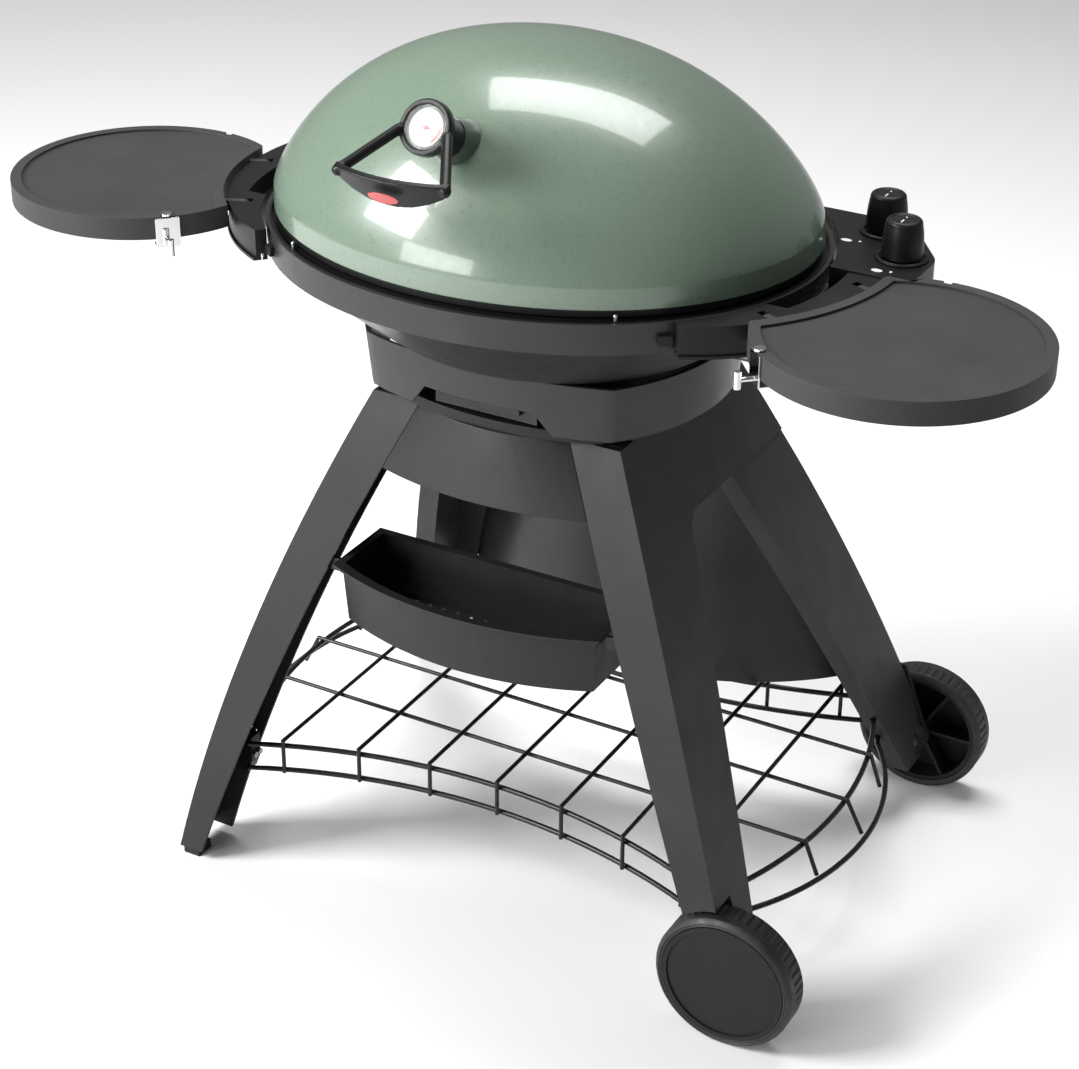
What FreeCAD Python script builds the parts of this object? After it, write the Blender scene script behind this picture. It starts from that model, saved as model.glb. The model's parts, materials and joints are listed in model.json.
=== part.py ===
"""Two-burner gas barbecue on a four-legged trolley, as separate named pieces.

Millimetres.  The origin is on the floor under the middle of the object, +Z is up and the
front, where the cook stands, is -Y.  Every piece is written to parts/NAME.step.
"""
import math
import os

import FreeCAD
import Part

V = FreeCAD.Vector
UP = V(0, 0, 1)
SIDES = {"left": -1, "right": 1}

# ---- driving dimensions -------------------------------------------------------------------
FIT = 0.05              # radial clearance of a running pin
TOUCH = 0.3             # gap between neighbouring pieces that only sit together

FLOOR_Z = 0.0
STAND_TOP_Z = 630.0     # top of the trolley
BODY_Y = -37.0          # centre of the cooking body
STAND_Y = 51.0          # half way between the two axles
LEG_WALL = 4.0

RIM_A, RIM_B = 313.0, 263.0     # half width and half depth of the bowl's rim band
RIM_Z = 819.0
BAND_H = 33.0
BOWL_FLOOR_Z = 706.0
BOWL_WALL = 4.5

HOOD_A, HOOD_B = 304.0, 251.0   # half width and half depth of the hood
HOOD_Z = 829.0
HOOD_LIP = 22.0
HOOD_RISE = 172.0
HOOD_SHEET = 2.5
HOOD_LEAN = -0.09               # the dome's crown sits a little forward of its rim

DECK_Z = 821.0                  # top of the side arms
ARM_H = 34.0

SHELF_X, SHELF_Y, SHELF_R = 448.0, -145.0, 147.0
SHELF_Z, SHELF_H = 827.0, 25.0
SLOT_FRONT, SLOT_REAR = (310.0, -153.0), (362.0, -39.0)   # shelf hinge knuckles, right side
SLOT_Z = 815.0

KNOBS = {"front": (371.0, 46.0), "rear": (329.0, 107.0)}
KNOB_R, KNOB_TOP_R, KNOB_H = 22.0, 19.0, 40.0
PANEL_Z = 823.0
KNOB_TRAVEL = 3.0

WHEEL_R, WHEEL_W, WHEEL_X = 81.4, 38.7, 345.0
AXLE_R = 5.0
WHEEL_OUT = 307.5               # outer wheel face from the middle of the trolley

RACK_Z = 150.0                  # upper rail of the wire shelf
RACK_STEP = 34.0                # lower rail below the upper one
RAIL_R, WIRE_R = 3.2, 2.5
WIRE_PITCH_X, WIRE_PITCH_Y = 88.0, 99.5

TRAY_Z = 645.0
BASKET_Z, BASKET_H = 440.0, 72.0

TO_MIDDLE = V(0, 2.06, 0)        # puts the origin under the middle of the overall depth

PARTS = {}


# ---- small helpers ------------------------------------------------------------------------
def box(x0, x1, y0, y1, z0, z1):
    lo = V(min(x0, x1), min(y0, y1), min(z0, z1))
    return Part.makeBox(abs(x1 - x0), abs(y1 - y0), abs(z1 - z0), lo)


def rod(start, end, radius):
    start, end = V(*start), V(*end)
    return Part.makeCylinder(radius, (end - start).Length, start, end - start)


def ball(centre, radius):
    return Part.makeSphere(radius, V(*centre))


def fuse(shapes):
    shapes = list(shapes)
    return shapes[0].multiFuse(shapes[1:]).removeSplitter() if len(shapes) > 1 else shapes[0]


def arc(a, b, c):
    return Part.Arc(V(*a), V(*b), V(*c)).toShape()


def line(a, b):
    return Part.makeLine(V(*a), V(*b))


def spline(points):
    curve = Part.BSplineCurve()
    curve.interpolate([V(*p) for p in points])
    return curve.toShape()


def slab(edges, direction):
    """Closed flat outline pushed along a vector."""
    return Part.Face(Part.Wire(Part.__sortEdges__(edges))).extrude(V(*direction))


def prism(points, z0, z1):
    ring = [V(x, y, z0) for x, y in points]
    return Part.Face(Part.makePolygon(ring + ring[:1])).extrude(V(0, 0, z1 - z0))


def turned(edges, centre=(0, 0, 0), axis=(0, 0, 1)):
    return Part.Face(Part.Wire(Part.__sortEdges__(edges))).revolve(V(*centre), V(*axis), 360)


def oval(shape, ratio, lean=0.0, lean_z=0.0):
    """Squash a body turned about Z into an oval about the cooking body's centre."""
    m = FreeCAD.Matrix()
    m.A22 = ratio
    m.A23 = lean
    m.A24 = BODY_Y - lean * lean_z
    return shape.transformGeometry(m)


def oval_post(half_width, half_depth, z0, z1):
    return oval(Part.makeCylinder(half_width, z1 - z0, V(0, 0, z0)), half_depth / half_width)


def mirror_x(shape):
    return shape.mirror(V(0, 0, 0), V(1, 0, 0))


def on_side(shape, side):
    return shape if SIDES[side] > 0 else mirror_x(shape)


def bent_wire(points, radius):
    """Round wire along straight runs with mitred corners."""
    path = [V(*p) for p in points]
    circle = Part.Wire([Part.makeCircle(radius, path[0], path[1] - path[0])])
    return Part.makePolygon(path).makePipeShell([circle], True, False, 1)


def swept(edge, radius):
    """Round bar along one edge."""
    start = edge.valueAt(edge.FirstParameter)
    heading = edge.tangentAt(edge.FirstParameter)
    circle = Part.Wire([Part.makeCircle(radius, start, heading)])
    return Part.Wire([edge]).makePipeShell([circle], True, True)


def add(name, shape):
    PARTS[name] = shape.translated(TO_MIDDLE)


def group(name, shapes):
    add(name, Part.makeCompound(list(shapes)))


# ---- trolley ------------------------------------------------------------------------------
def leg_outer_x(inset=0.0):
    """Front view of the outer face of the legs, top to floor."""
    return arc((152 - inset, 0, STAND_TOP_Z), (266 - inset, 0, 359), (379 - inset, 0, FLOOR_Z))


def leg_inner_x():
    return arc((92, 0, STAND_TOP_Z), (208, 0, 367), (349, 0, FLOOR_Z))


def splay(outer, inner, y0, y1):
    """Sheet between two front-view curves, carried from y0 to y1."""
    ends = [(outer.valueAt(outer.FirstParameter), inner.valueAt(inner.FirstParameter)),
            (outer.valueAt(outer.LastParameter), inner.valueAt(inner.LastParameter))]
    caps = [Part.makeLine(a, b) for a, b in ends]
    sheet = slab([outer, inner] + caps, (0, y1 - y0, 0))
    sheet.translate(V(0, y0, 0))
    return sheet


def front_edge(inset=0.0):
    """Side view of the front legs' front edge."""
    return arc((0, -149 + inset, STAND_TOP_Z), (0, -220.5 + inset, 359), (0, -262 + inset, 0))


def front_leg_back():
    return arc((0, -75, 510), (0, -127, 349), (0, -197, 0))


def rear_edge(inset=0.0):
    """Side view of the rear legs' rear edge."""
    return arc((0, 136 - inset, STAND_TOP_Z), (0, 243 - inset, 353), (0, 352 - inset, 0))


def rear_leg_front():
    return arc((0, 42, 531), (0, 130, 333), (0, 285, 0))


def side_profile():
    """Front leg and the side panel behind its top, seen from the side."""
    edges = [
        front_edge(),
        line((0, -262, 0), (0, -197, 0)),
        front_leg_back(),
        arc((0, -75, 510), (0, -64, 526), (0, -43, 531)),
        line((0, -43, 531), (0, 174, 531)),
        line((0, 174, 531), (0, 136, STAND_TOP_Z)),
        line((0, 136, STAND_TOP_Z), (0, -149, STAND_TOP_Z)),
    ]
    return slab(edges, (400, 0, 0))


def front_strip():
    edges = [
        front_edge(),
        front_edge(LEG_WALL),
        line((0, -149, STAND_TOP_Z), (0, -149 + LEG_WALL, STAND_TOP_Z)),
        line((0, -262, 0), (0, -262 + LEG_WALL, 0)),
    ]
    return slab(edges, (400, 0, 0))


def back_strip():
    """Flange that closes the front leg's channel along its rear edge."""
    back = front_leg_back()
    shifted = back.translated(V(0, -LEG_WALL, 0))
    ends = [line((0, y, z), (0, y - LEG_WALL, z)) for y, z in ((-75, 510), (-197, 0))]
    return slab([back, shifted] + ends, (400, 0, 0))


def rear_profile():
    edges = [
        rear_edge(),
        line((0, 352, 0), (0, 285, 0)),
        rear_leg_front(),
        line((0, 42, 531), (0, 42, STAND_TOP_Z)),
        line((0, 42, STAND_TOP_Z), (0, 136, STAND_TOP_Z)),
    ]
    return slab(edges, (400, 0, 0))


def rear_channel_strip():
    """Flange along the front edge of a rear leg."""
    front = rear_leg_front()
    shifted = front.translated(V(0, LEG_WALL, 0))
    ends = [line((0, y, z), (0, y + LEG_WALL, z)) for y, z in ((42, 531), (285, 0))]
    return slab([front, shifted] + ends, (400, 0, 0))


def rear_strip():
    edges = [
        rear_edge(),
        rear_edge(LEG_WALL),
        line((0, 136, STAND_TOP_Z), (0, 136 - LEG_WALL, STAND_TOP_Z)),
        line((0, 352, 0), (0, 352 - LEG_WALL, 0)),
    ]
    return slab(edges, (400, 0, 0))


FOOT_H = 12.0
WHEEL_ROOM = WHEEL_R + 7.0
WHEEL_GAP = 4.0                 # between a wheel and the leg beside it
BOSS_LENGTH = 22.0
BOLT_HEAD_R, BOLT_HEAD_H = 9.0, 5.0


def wheel_faces(end):
    """Inner and outer Y of a wheel."""
    sign = -1 if end == "front" else 1
    outer = STAND_Y + sign * WHEEL_OUT
    return outer - sign * WHEEL_W, outer


def wheel_clearance(end):
    sign = -1 if end == "front" else 1
    inner, outer = wheel_faces(end)
    start = V(WHEEL_X, inner - sign * WHEEL_GAP, WHEEL_R)
    return Part.makeCylinder(WHEEL_ROOM, 60, start, V(0, sign, 0))


def axle_boss(end):
    """Boss for the axle bolt, and the bore with room for the bolt's head behind it."""
    sign = -1 if end == "front" else 1
    face = wheel_faces(end)[0] - sign * WHEEL_GAP
    start = V(WHEEL_X, face, WHEEL_R)
    back = V(0, -sign, 0)
    boss = Part.makeCylinder(16, BOSS_LENGTH, start, back)
    bore = Part.makeCylinder(AXLE_R, BOSS_LENGTH, start, back)
    head_room = Part.makeCylinder(BOLT_HEAD_R + 0.5, BOLT_HEAD_H + 1, start + back * BOSS_LENGTH, back)
    return boss, bore.fuse(head_room)


def axle_web(end):
    """Flat web that carries the axle boss up into the leg."""
    sign = -1 if end == "front" else 1
    face = wheel_faces(end)[0] - sign * WHEEL_GAP
    outline = [(WHEEL_X - 16, WHEEL_R), (WHEEL_X + 16, WHEEL_R), (324, 176), (288, 176)]
    ring = [V(x, face, z) for x, z in outline]
    return Part.Face(Part.makePolygon(ring + ring[:1])).extrude(V(0, -sign * LEG_WALL, 0))


FLANGE = 32.0                   # width of the flanges on the legs' inner edges


def rail_room():
    """Both rack rails, a little thicker, to be cut out of what they pass through."""
    gap = RAIL_R + 1.5
    return Part.makeCompound([rack_rail(RACK_Z, UPPER_BULGE, UPPER_GATE, gap),
                              rack_rail(RACK_Z - RACK_STEP, LOWER_BULGE, LOWER_GATE, gap)])


def side_frame(side):
    profile = side_profile()
    skin = profile.common(splay(leg_outer_x(), leg_outer_x(LEG_WALL), -300, 300))
    face = front_strip().common(splay(leg_outer_x(), leg_inner_x(), -300, 0))
    shelf = box(60, 160, -140, 120, STAND_TOP_Z - LEG_WALL, STAND_TOP_Z)
    shelf = shelf.common(profile).common(splay(leg_outer_x(), leg_inner_x(), -300, 300))
    flange = back_strip().common(splay(leg_outer_x(), leg_outer_x(FLANGE), -300, 0))
    body = fuse([skin, face, shelf, flange.cut(rail_room())])
    if side == "right":
        boss, bore = axle_boss("front")
        low = box(250, 450, -300, -120, -1, WHEEL_R - 20)
        body = body.cut(wheel_clearance("front")).cut(low)
        body = fuse([body, boss, axle_web("front")]).cut(bore)
        body = body.cut(wheel_clearance("front"))
    else:
        body = body.cut(box(0, 450, -300, 0, -1, FOOT_H))
    return on_side(body, side)


def rear_leg(side):
    inset = LEG_WALL + TOUCH
    profile = rear_profile()
    skin = profile.common(splay(leg_outer_x(inset), leg_outer_x(2 * inset), 0, 400))
    face = rear_strip().common(splay(leg_outer_x(inset), leg_inner_x(), 0, 400))
    flange = rear_channel_strip().common(splay(leg_outer_x(inset), leg_outer_x(FLANGE), 0, 400))
    body = fuse([skin, face, flange.cut(rail_room())])
    body = body.cut(box(0, 400, 0, 200, STAND_TOP_Z - LEG_WALL - TOUCH, STAND_TOP_Z + 1))
    if side == "right":
        boss, bore = axle_boss("rear")
        low = box(250, 450, 200, 400, -1, WHEEL_R - 20)
        body = body.cut(wheel_clearance("rear")).cut(low)
        body = fuse([body, boss, axle_web("rear")]).cut(bore)
        body = body.cut(wheel_clearance("rear"))
    else:
        body = body.cut(box(0, 450, 200, 400, -1, FOOT_H))
    return on_side(body, side)


def at_height(edge, z, axis):
    """Where an arc of the front or side view passes a height, as its "x" or "y"."""
    centre = edge.Curve.Center
    reach = math.sqrt(edge.Curve.Radius ** 2 - (z - centre.z) ** 2)
    start, middle = (getattr(p, axis) for p in (edge.valueAt(edge.FirstParameter), centre))
    return middle + math.copysign(reach, start - middle)


def front_panel():
    """Bowed panel that joins the tops of the two front legs, flush with their faces."""
    def section(z, bow):
        half = at_height(leg_inner_x(), z, "x") - TOUCH
        corner_y = at_height(front_edge(), z, "y")
        outer = arc((-half, corner_y, z), (0, corner_y - bow, z), (half, corner_y, z))
        inner = arc((-half, corner_y + LEG_WALL, z), (0, corner_y + LEG_WALL - bow, z),
                    (half, corner_y + LEG_WALL, z))
        ends = [line((s * half, corner_y, z), (s * half, corner_y + LEG_WALL, z)) for s in (-1, 1)]
        return Part.Wire(Part.__sortEdges__([outer, inner] + ends))

    return Part.makeLoft([section(551, 22), section(590, 23.5), section(STAND_TOP_Z, 25)], True, True)


def rear_crossbar():
    bar = box(-92, 92, 126, 130, 590, STAND_TOP_Z)
    flange = box(-92, 92, 106, 126, STAND_TOP_Z - LEG_WALL, STAND_TOP_Z)
    return fuse([bar, flange])


def bottle_shroud():
    """Curved guard between the rear legs, in front of where the gas bottle stands."""
    radius, centre_y = 350.0, 504.0
    wall = 3.5
    low, high = RACK_Z + RAIL_R + 4 * WIRE_R + 1.5, 588.0
    ring = Part.makeCylinder(radius, 600, V(0, centre_y, 0))
    ring = ring.cut(Part.makeCylinder(radius - wall, 600, V(0, centre_y, 0)))
    inner = leg_inner_x()
    edges = [inner, mirror_x(inner), line((-92, 0, STAND_TOP_Z), (92, 0, STAND_TOP_Z)),
             line((-349, 0, 0), (349, 0, 0))]
    window = slab(edges, (0, 400, 0))
    return ring.common(window).common(box(-400, 400, 100, 330, low, high))


def feet():
    """Rubber pads inside the ends of the two left legs."""
    return [box(-374, -352, y0, y0 + 25, FLOOR_Z, FOOT_H - TOUCH) for y0 in (-257, 318)]


def axle_bolt(end):
    sign = -1 if end == "front" else 1
    inner, outer = wheel_faces(end)
    tip = outer - sign * 8
    back = inner - sign * (WHEEL_GAP + BOSS_LENGTH)
    shank = rod((WHEEL_X, back, WHEEL_R), (WHEEL_X, tip, WHEEL_R), AXLE_R)
    head_end = (WHEEL_X, back - sign * BOLT_HEAD_H, WHEEL_R)
    head = rod((WHEEL_X, back, WHEEL_R), head_end, BOLT_HEAD_R)
    return fuse([shank, head])


def wheel_hub(end):
    """Closed outer disc, spoked on the inner side, with a blind axle bore."""
    sign = -1 if end == "front" else 1
    inner, outer = wheel_faces(end)
    start = V(WHEEL_X, outer, WHEEL_R)
    inward = V(0, -sign, 0)
    rim_r, disc = 71.5, 4.0
    rim = Part.makeCylinder(rim_r, WHEEL_W - 3, start, inward)
    rim = rim.cut(Part.makeCylinder(rim_r - 5, WHEEL_W, start, inward))
    plate = Part.makeCylinder(rim_r - 4, disc, start + inward * 2, inward)
    boss = Part.makeCylinder(13, WHEEL_W - 3, start + inward * 2, inward)
    spokes = []
    for k in range(6):
        blade = box(10, rim_r - 3, 0, WHEEL_W - 8, -2, 2)
        blade.rotate(V(0, 0, 0), V(0, 1, 0), 60 * k)
        y0 = outer + 3 if sign < 0 else outer - 3 - (WHEEL_W - 8)
        blade.translate(V(WHEEL_X, y0, WHEEL_R))
        spokes.append(blade)
    bore = Part.makeCylinder(AXLE_R + FIT, WHEEL_W, start + inward * 7.5, inward)
    return fuse([rim, plate, boss] + spokes).cut(bore)


def tyre(end):
    inner, outer = wheel_faces(end)
    lo, hi = min(inner, outer), max(inner, outer)
    seat, chamfer = 71.5, 5.0
    outline = [(seat, lo + 1.5), (WHEEL_R - chamfer, lo), (WHEEL_R, lo + chamfer),
               (WHEEL_R, hi - chamfer), (WHEEL_R - chamfer, hi), (seat, hi - 1.5)]
    ring = [V(WHEEL_X + r, y, WHEEL_R) for r, y in outline]
    face = Part.Face(Part.makePolygon(ring + ring[:1]))
    return face.revolve(V(WHEEL_X, 0, WHEEL_R), V(0, 1, 0), 360)


RACK_FRONT = ((-306, -206), (0, -136), (306, -206))
RACK_BACK = ((-306, 262), (0, 202), (306, 262))
RACK_CORNER_X = 312.0


def rack_rail(z, bulge_x, gate_x, radius=RAIL_R):
    """One closed rail: hollow-curved front and back, sides bowed outwards between the legs."""
    pieces = []
    for a, b, c in (RACK_FRONT, RACK_BACK):
        pieces.append(swept(arc((*a, z), (*b, z), (*c, z)), radius))
    for s in (-1, 1):
        front, back = (s * gate_x, -166, z), (s * gate_x, 216, z)
        pieces.append(swept(arc(front, (s * bulge_x, 25, z), back), radius))
        corners = [(s * 306, -206, z), (s * RACK_CORNER_X, -200, z), front,
                   (s * 306, 262, z), (s * RACK_CORNER_X, 256, z), back]
        for k in (0, 3):
            pieces.append(rod(corners[k], corners[k + 1], radius))
            pieces.append(rod(corners[k + 1], corners[k + 2], radius))
        pieces += [ball(p, radius) for p in corners]
    return fuse(pieces)


def edge_y(points, x):
    """Y on the circle through three plan points, at x."""
    (x0, y0), (xm, ym), _ = points
    rise = y0 - ym
    radius = (x0 * x0 + rise * rise) / (2 * abs(rise))
    depth = radius - math.sqrt(radius * radius - x * x)
    return ym + math.copysign(depth, rise)


def side_x(y, bulge_x, gate_x):
    half, rise = 191.0, bulge_x - gate_x
    radius = (half * half + rise * rise) / (2 * rise)
    return bulge_x - (radius - math.sqrt(radius * radius - (y - 25) ** 2))


UPPER_BULGE, UPPER_GATE = 360.0, 322.0
LOWER_BULGE, LOWER_GATE = 392.0, 330.0


def rack_wires():
    low = RACK_Z - RACK_STEP
    lie = RACK_Z + RAIL_R + WIRE_R + FIT
    cross = lie + 2 * WIRE_R + FIT
    over = 1.2 * (RAIL_R + WIRE_R)      # room for the rails' slant in plan
    wires = []
    for k in range(-3, 4):
        x = k * WIRE_PITCH_X
        front = edge_y(RACK_FRONT, x) - over
        back = edge_y(RACK_BACK, x) + over
        wires.append(bent_wire([(x, front, low), (x, front, cross), (x, back, cross),
                                (x, back, low)], WIRE_R))
    for k in (-1, 0, 1):
        y = STAND_Y - 18 + k * WIRE_PITCH_Y
        upper = side_x(y, UPPER_BULGE, UPPER_GATE)
        lower = side_x(y, LOWER_BULGE, LOWER_GATE) - over
        bend = upper + WIRE_R + 2
        run = [(-lower, y, low), (-bend, y, lie), (bend, y, lie), (lower, y, low)]
        wires.append(bent_wire(run, WIRE_R))
    return wires


SADDLE_Y = {"front": (-205.0, -187.0), "rear": (243.0, 261.0)}
SADDLE_X = 303.0


def rack_saddles():
    """Moulded blocks inside the four legs that grip the corners of both rails."""
    low = RACK_Z - RACK_STEP
    rails = [rack_rail(RACK_Z, UPPER_BULGE, UPPER_GATE, RAIL_R + FIT),
             rack_rail(low, LOWER_BULGE, LOWER_GATE, RAIL_R + FIT)]
    walls = {"front": LEG_WALL + FIT, "rear": 2 * (LEG_WALL + TOUCH) + FIT}
    saddles = []
    for end, (y0, y1) in SADDLE_Y.items():
        room = splay(leg_outer_x(walls[end]), leg_inner_x(), y0, y1)
        block = box(SADDLE_X, 360, y0, y1, low - 7, RACK_Z + 7).common(room)
        for side in SIDES:
            saddle = on_side(block, side).cut(Part.makeCompound(rails))
            saddles.append(max(saddle.Solids, key=lambda solid: solid.Volume))
    return saddles


def rack_bolts():
    z = RACK_Z - RACK_STEP / 2
    bolts = []
    for s in (-1, 1):
        for y0, y1 in SADDLE_Y.values():
            for y in (y0 + 4.5, y1 - 4.5):
                bolts.append(rod((s * (SADDLE_X - FIT), y, z), (s * (SADDLE_X - 4), y, z), 3.8))
    return bolts


def basket():
    """Tub between the front legs: straight back, bowed front, holes in the floor."""
    wall, flange = 2.5, 7.5

    def outline(grow, z):
        side, front, bow, back = 160 + grow, -210 - grow, -246 - grow, -126 + grow
        edges = [arc((-side, front, z), (0, bow, z), (side, front, z)),
                 line((side, front, z), (side, back, z)),
                 line((side, back, z), (-side, back, z)),
                 line((-side, back, z), (-side, front, z))]
        return Part.Wire(Part.__sortEdges__(edges))

    floor_z = BASKET_Z - BASKET_H
    back_row_y = -140.0
    taper = 4.0
    shell = Part.makeLoft([outline(-taper, floor_z), outline(0, BASKET_Z)], True, True)
    hollow = Part.makeLoft([outline(-taper - wall, floor_z + wall),
                            outline(-wall, BASKET_Z + wall)], True, True)
    rim = Part.Face(outline(flange, BASKET_Z - 3)).extrude(V(0, 0, 3))
    rim = rim.cut(Part.Face(outline(-1, BASKET_Z - 4)).extrude(V(0, 0, 5)))
    body = fuse([shell.cut(hollow), rim])
    pitch, hole_r = 18.0, 3.2
    holes = []
    for row in range(5):
        y = back_row_y - row * pitch
        shift = pitch / 2 if row % 2 else 0.0
        for k in range(-7, 8):
            x = k * pitch + shift
            holes.append(rod((x, y, floor_z - 1), (x, y, floor_z + wall + 1), hole_r))
    return body.cut(Part.makeCompound(holes))


def basket_hooks():
    """Plates behind the front legs that the basket's rim hangs on."""
    top = BASKET_Z - 3 - TOUCH
    plates = []
    for s in (-1, 1):
        plate = box(s * 163, s * 196, -199, -195, top - 16, top)
        side = box(s * 163, s * 166, -195, -140, top - 16, top)
        plates.append(fuse([plate, side]))
    return plates


# ---- pedestal and drip tray ---------------------------------------------------------------
def pedestal_outline(grow, z):
    """Bowed front, full sides, flatter back."""
    corner, front, bow = 145 + grow, -158 - grow, -185 - grow
    side, back, tail = 200 + grow, 138 + grow, 160 + grow
    edges = [arc((-corner, front, z), (0, bow, z), (corner, front, z)),
             arc((corner, front, z), (side, -10, z), (corner, back, z)),
             arc((corner, back, z), (0, tail, z), (-corner, back, z)),
             arc((-corner, back, z), (-side, -10, z), (-corner, front, z))]
    return Part.Wire(Part.__sortEdges__(edges))


def pedestal():
    low, high = STAND_TOP_Z + 12, BOWL_FLOOR_Z - TOUCH
    outer = Part.makeLoft([pedestal_outline(0, low), pedestal_outline(5, high)], True, True)
    inner = Part.makeLoft([pedestal_outline(-4, low - 1), pedestal_outline(1, high + 1)], True, True)
    mouth = [(-86, low - 1), (86, low - 1), (66, low + 25), (-66, low + 25)]
    ring = [V(x, -240, z) for x, z in mouth]
    notch = Part.Face(Part.makePolygon(ring + ring[:1])).extrude(V(0, 140, 0))
    return outer.cut(inner).cut(notch)


def base_plate():
    """Dark plate in the shadow gap between pedestal and trolley."""
    face = Part.Face(pedestal_outline(-14, STAND_TOP_Z + TOUCH))
    plate = face.extrude(V(0, 0, 12 - 2 * TOUCH))
    return plate


TRAY_HALF, TRAY_FRONT, TRAY_BACK = 62.0, -166.0, 60.0


def drip_tray():
    wall, depth = 2.0, 19.0
    pan = box(-TRAY_HALF, TRAY_HALF, TRAY_FRONT, TRAY_BACK, TRAY_Z, TRAY_Z + depth)
    hollow = box(-TRAY_HALF + wall, TRAY_HALF - wall, TRAY_FRONT + wall, TRAY_BACK - wall,
                 TRAY_Z + wall, TRAY_Z + depth + 1)
    lip = box(-45, 45, TRAY_FRONT - 8, TRAY_FRONT, TRAY_Z + depth - 9, TRAY_Z + depth)
    return fuse([pan.cut(hollow), lip])


def tray_runners():
    low = STAND_TOP_Z + 12
    rails = []
    for s in (-1, 1):
        foot = box(s * 52, s * 68, -140, 64, low, TRAY_Z - TOUCH)
        fence = box(s * (TRAY_HALF + 1), s * 68, -140, 64, low, TRAY_Z + 8)
        rails.append(fuse([foot, fence]))
    return rails


# ---- bowl, grates, burners ----------------------------------------------------------------
def bowl():
    """Straight rim band, then an underside that falls in a flat curve to the foot."""
    band_z = RIM_Z - BAND_H
    shoulder, foot_r = RIM_A - 10, 192.0
    w = BOWL_WALL
    knee = (247, 0, 745)
    ledge_r, ledge_z = 286.0, 790.0
    edges = [
        line((RIM_A, 0, RIM_Z), (RIM_A - 1, 0, band_z)),
        line((RIM_A - 1, 0, band_z), (shoulder, 0, band_z)),
        arc((shoulder, 0, band_z), knee, (foot_r, 0, BOWL_FLOOR_Z)),
        line((foot_r, 0, BOWL_FLOOR_Z), (0, 0, BOWL_FLOOR_Z)),
        line((0, 0, BOWL_FLOOR_Z), (0, 0, BOWL_FLOOR_Z + w)),
        line((0, 0, BOWL_FLOOR_Z + w), (foot_r - 2, 0, BOWL_FLOOR_Z + w)),
        arc((foot_r - 2, 0, BOWL_FLOOR_Z + w), (knee[0] - w, 0, knee[2] + 3),
            (shoulder - w, 0, band_z)),
        line((shoulder - w, 0, band_z), (ledge_r, 0, band_z + 1)),
        line((ledge_r, 0, band_z + 1), (ledge_r, 0, ledge_z)),
        line((ledge_r, 0, ledge_z), (RIM_A - w, 0, ledge_z)),
        line((RIM_A - w, 0, ledge_z), (RIM_A - w, 0, RIM_Z)),
        line((RIM_A - w, 0, RIM_Z), (RIM_A, 0, RIM_Z)),
    ]
    body = oval(turned(edges), RIM_B / RIM_A)
    drain = rod((0, BODY_Y, BOWL_FLOOR_Z - 1), (0, BODY_Y, BOWL_FLOOR_Z + w + 1), 25)
    ports = [rod((200, y, BURNER_Z), (330, y, BURNER_Z), BURNER_R + 1.5) for y in BURNER_Y.values()]
    return body.cut(Part.makeCompound([drain] + ports))


def rim_ring():
    """Black ring in the bowl's mouth, with the channel the hood's seal drops into."""
    outer, inner, top, low = RIM_A - BOWL_WALL - TOUCH, 288.0, RIM_Z + 1, RIM_Z - 8
    edges = [
        line((inner, 0, low), (outer, 0, low)),
        line((outer, 0, low), (outer, 0, top)),
        line((outer, 0, top), (outer - 2, 0, top)),
        line((outer - 2, 0, top), (outer - 2, 0, top - 5)),
        line((outer - 2, 0, top - 5), (outer - 8, 0, top - 5)),
        line((outer - 8, 0, top - 5), (outer - 8, 0, top - 1)),
        line((outer - 8, 0, top - 1), (inner, 0, top - 1)),
        line((inner, 0, top - 1), (inner, 0, low)),
    ]
    return oval(turned(edges), RIM_B / RIM_A)


def rim_pins():
    """Two small locating pins that stand in the front of the rim channel."""
    pins = []
    for s in (-1, 1):
        x = s * 188.0
        reach = 304.0
        y = BODY_Y - reach * RIM_B / RIM_A * math.sqrt(1 - (x / reach) ** 2)
        shank = rod((x, y, RIM_Z - 4), (x, y, HOOD_Z - 4), 1.8)
        pins.append(fuse([shank, ball((x, y, HOOD_Z - 4.5), 2.4)]))
    return pins


def grate(side):
    """Half of the cast cooking grate: oval frame with bars along Y."""
    a, b, z0, z1 = 297.0, 297.0 * RIM_B / RIM_A, 790.3, 798.3
    plate = oval_post(a, b, z0, z1).common(box(1, 400, -400, 400, z0, z1))
    inner = oval_post(a - 14, b - 14, z0 - 1, z1 + 1)
    slots = []
    for k in range(16):
        x = 14 + 17.0 * k
        slots.append(box(x, x + 9.5, -400, 400, z0 - 1, z1 + 1))
    plate = plate.cut(Part.makeCompound(slots).common(inner))
    middle = box(1, 280, BODY_Y - 5, BODY_Y + 5, z0, z1 - 2)
    return on_side(fuse([plate, middle.common(oval_post(a - 10, b - 10, z0, z1))]), side)


BURNER_Z, BURNER_R = 750.0, 11.0
BURNER_Y = {"front": -95.0, "rear": 20.0}


def burner(end):
    y = BURNER_Y[end]
    tube = rod((-215, y, BURNER_Z), (302, y, BURNER_Z), BURNER_R)
    hollow = rod((-212, y, BURNER_Z), (303, y, BURNER_Z), BURNER_R - 1.5)
    body = tube.cut(hollow)
    flames = []
    for k in range(20):
        x = -200 + 20 * k
        for s in (-1, 1):
            flames.append(rod((x, y, BURNER_Z), (x, y + s * 14, BURNER_Z + 8), 1.2))
    body = body.cut(Part.makeCompound(flames))
    legs = [box(x, x + 3, y - 6, y + 6, BOWL_FLOOR_Z + BOWL_WALL, BURNER_Z - BURNER_R + 1.0)
            for x in (-150, 150)]
    return fuse([body] + legs)


# ---- control panel, valves, gas pipes -----------------------------------------------------
PANEL_FRONT_Y = -12.0
PANEL_WALL = 3.0


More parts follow.
